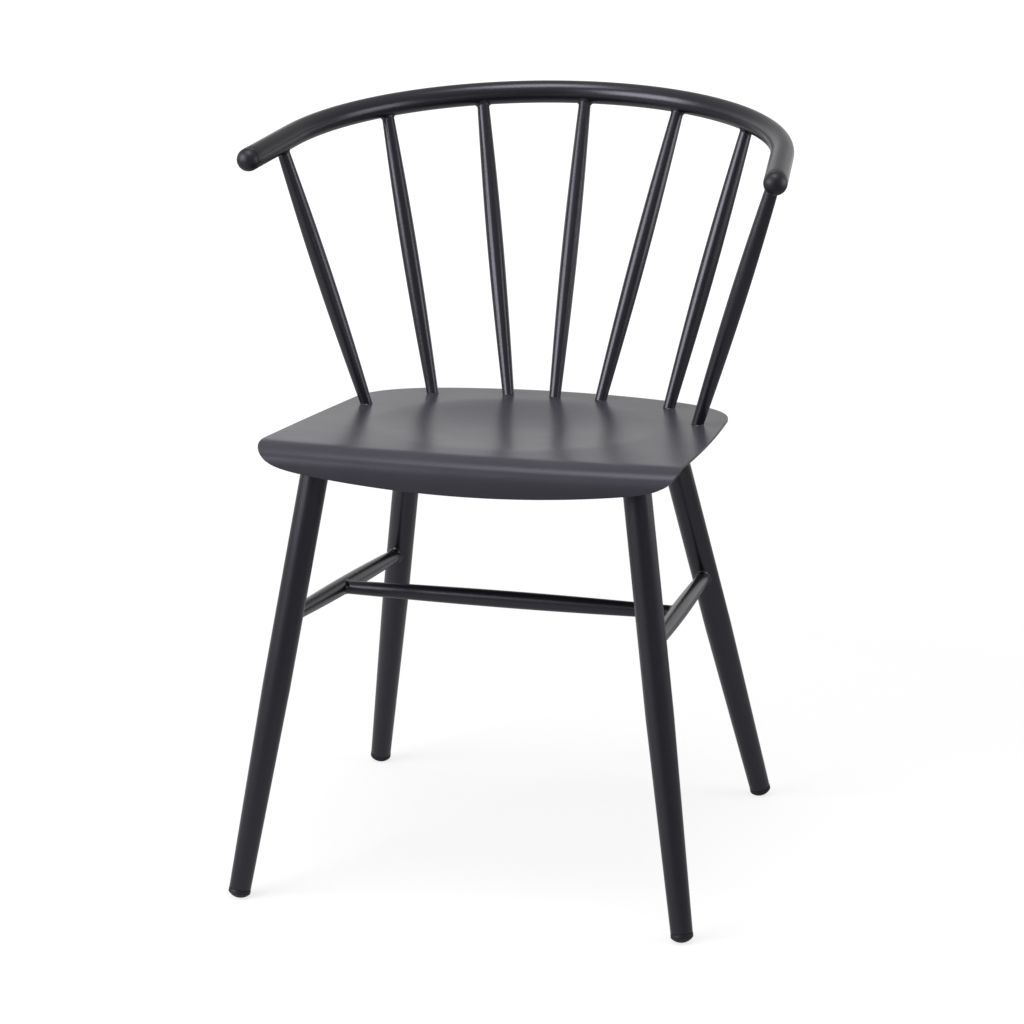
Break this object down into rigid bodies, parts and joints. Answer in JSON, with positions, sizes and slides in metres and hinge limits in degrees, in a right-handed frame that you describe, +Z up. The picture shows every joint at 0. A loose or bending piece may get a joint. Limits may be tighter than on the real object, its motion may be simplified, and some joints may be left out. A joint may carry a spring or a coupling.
{
  "type": "metal dining chair",
  "caption": "Spindle-back dining chair of coated steel tube: tapered splayed legs with an H stretcher, a dished sheet seat with a waterfall front, and a bent bow over swelled spindles",
  "frame": {"origin": "on the floor under the middle of the chair's overall width and depth", "axes": "+Z up, +X to the right of someone who looks at the chair's front, -Y the way the chair faces"},
  "size_m": [0.5584, 0.5249, 0.7588],
  "materials": {
    "frame_coat": "satin black powder coat on steel tube",
    "seat_coat": "smooth satin black powder coat on pressed sheet steel",
    "glide_plastic": "black moulded plastic glide",
    "cap_plastic": "glossy black moulded ball cap",
    "zinc_steel": "zinc-plated steel stud and nut"
  },
  "bodies": {
    "root": {"seat_shell": "seat_coat", "seat_rail_left": "frame_coat", "seat_rail_right": "frame_coat", "seat_studs": "zinc_steel", "seat_nuts": "zinc_steel", "leg_front_left": "frame_coat", "leg_front_right": "frame_coat", "leg_back_left": "frame_coat", "leg_back_right": "frame_coat", "glide_front_left": "glide_plastic", "glide_front_right": "glide_plastic", "glide_back_left": "glide_plastic", "glide_back_right": "glide_plastic", "side_stretcher_left": "frame_coat", "side_stretcher_right": "frame_coat", "cross_stretcher": "frame_coat", "bow_tube": "frame_coat", "bow_cap_left": "cap_plastic", "bow_cap_right": "cap_plastic", "spindle_1": "frame_coat", "spindle_2": "frame_coat", "spindle_3": "frame_coat", "spindle_4": "frame_coat", "spindle_5": "frame_coat", "spindle_6": "frame_coat", "spindle_7": "frame_coat"}
  },
  "joints": []
}
